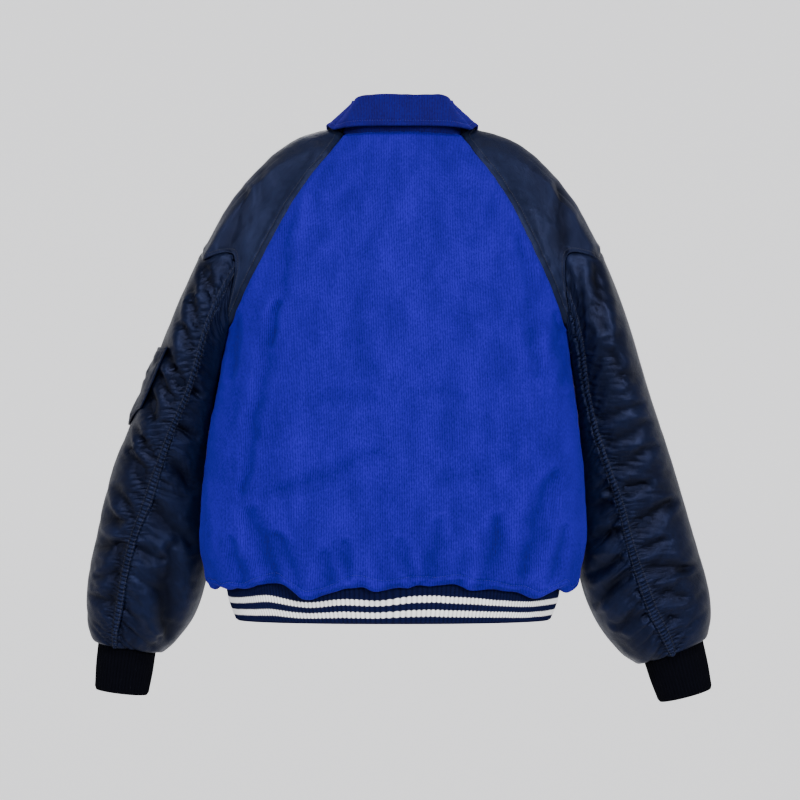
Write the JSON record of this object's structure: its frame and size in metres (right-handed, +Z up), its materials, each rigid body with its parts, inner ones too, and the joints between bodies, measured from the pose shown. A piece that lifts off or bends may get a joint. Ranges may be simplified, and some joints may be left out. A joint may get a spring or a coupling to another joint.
{
  "type": "padded bomber jacket",
  "caption": "Padded bomber jacket, filled out as worn: corduroy body and collar, raglan nylon sleeves with gathered back seams, ribbed hem and cuffs, and a closed front zip.",
  "frame": {"origin": "middle of the neck opening, level with the top of the shoulders beside the collar", "axes": "+X towards the wearer's left and across the sleeves, -Y out of the front, +Y out of the back, +Z up"},
  "size_m": [0.8575, 0.2821, 0.8211],
  "materials": {
    "corduroy": "fine-waled corduroy with a short nap",
    "shoulder_nylon": "nylon twill with a satin sheen",
    "sleeve_nylon": "nylon twill with a satin sheen",
    "band_knit": "ribbed knit with two pale stripes",
    "cuff_knit": "ribbed knit, matte",
    "zip_tape": "woven tape, matte",
    "nickel": "nickel-plated die-cast, satin"
  },
  "bodies": {
    "jacket": {"back": "corduroy", "front_left": "corduroy", "front_right": "corduroy", "collar": "corduroy", "shoulder_left": "shoulder_nylon", "shoulder_right": "shoulder_nylon", "sleeve_under_left": "sleeve_nylon", "sleeve_under_right": "sleeve_nylon", "sleeve_upper_left": "sleeve_nylon", "sleeve_upper_right": "sleeve_nylon", "sleeve_pocket": "sleeve_nylon", "hem_rib": "band_knit", "cuff_left": "cuff_knit", "cuff_right": "cuff_knit", "zip_tape": "zip_tape", "zip_slider": "nickel"},
    "pull": {"zip_pull": "nickel"}
  },
  "joints": [
    {"name": "pull_hinge", "type": "hinge", "parent": "jacket", "child": "pull", "pos_m": [-0.00205, -0.08924, -0.08693], "axis": [-1, 0, 0], "range_deg": [0, 150]}
  ]
}
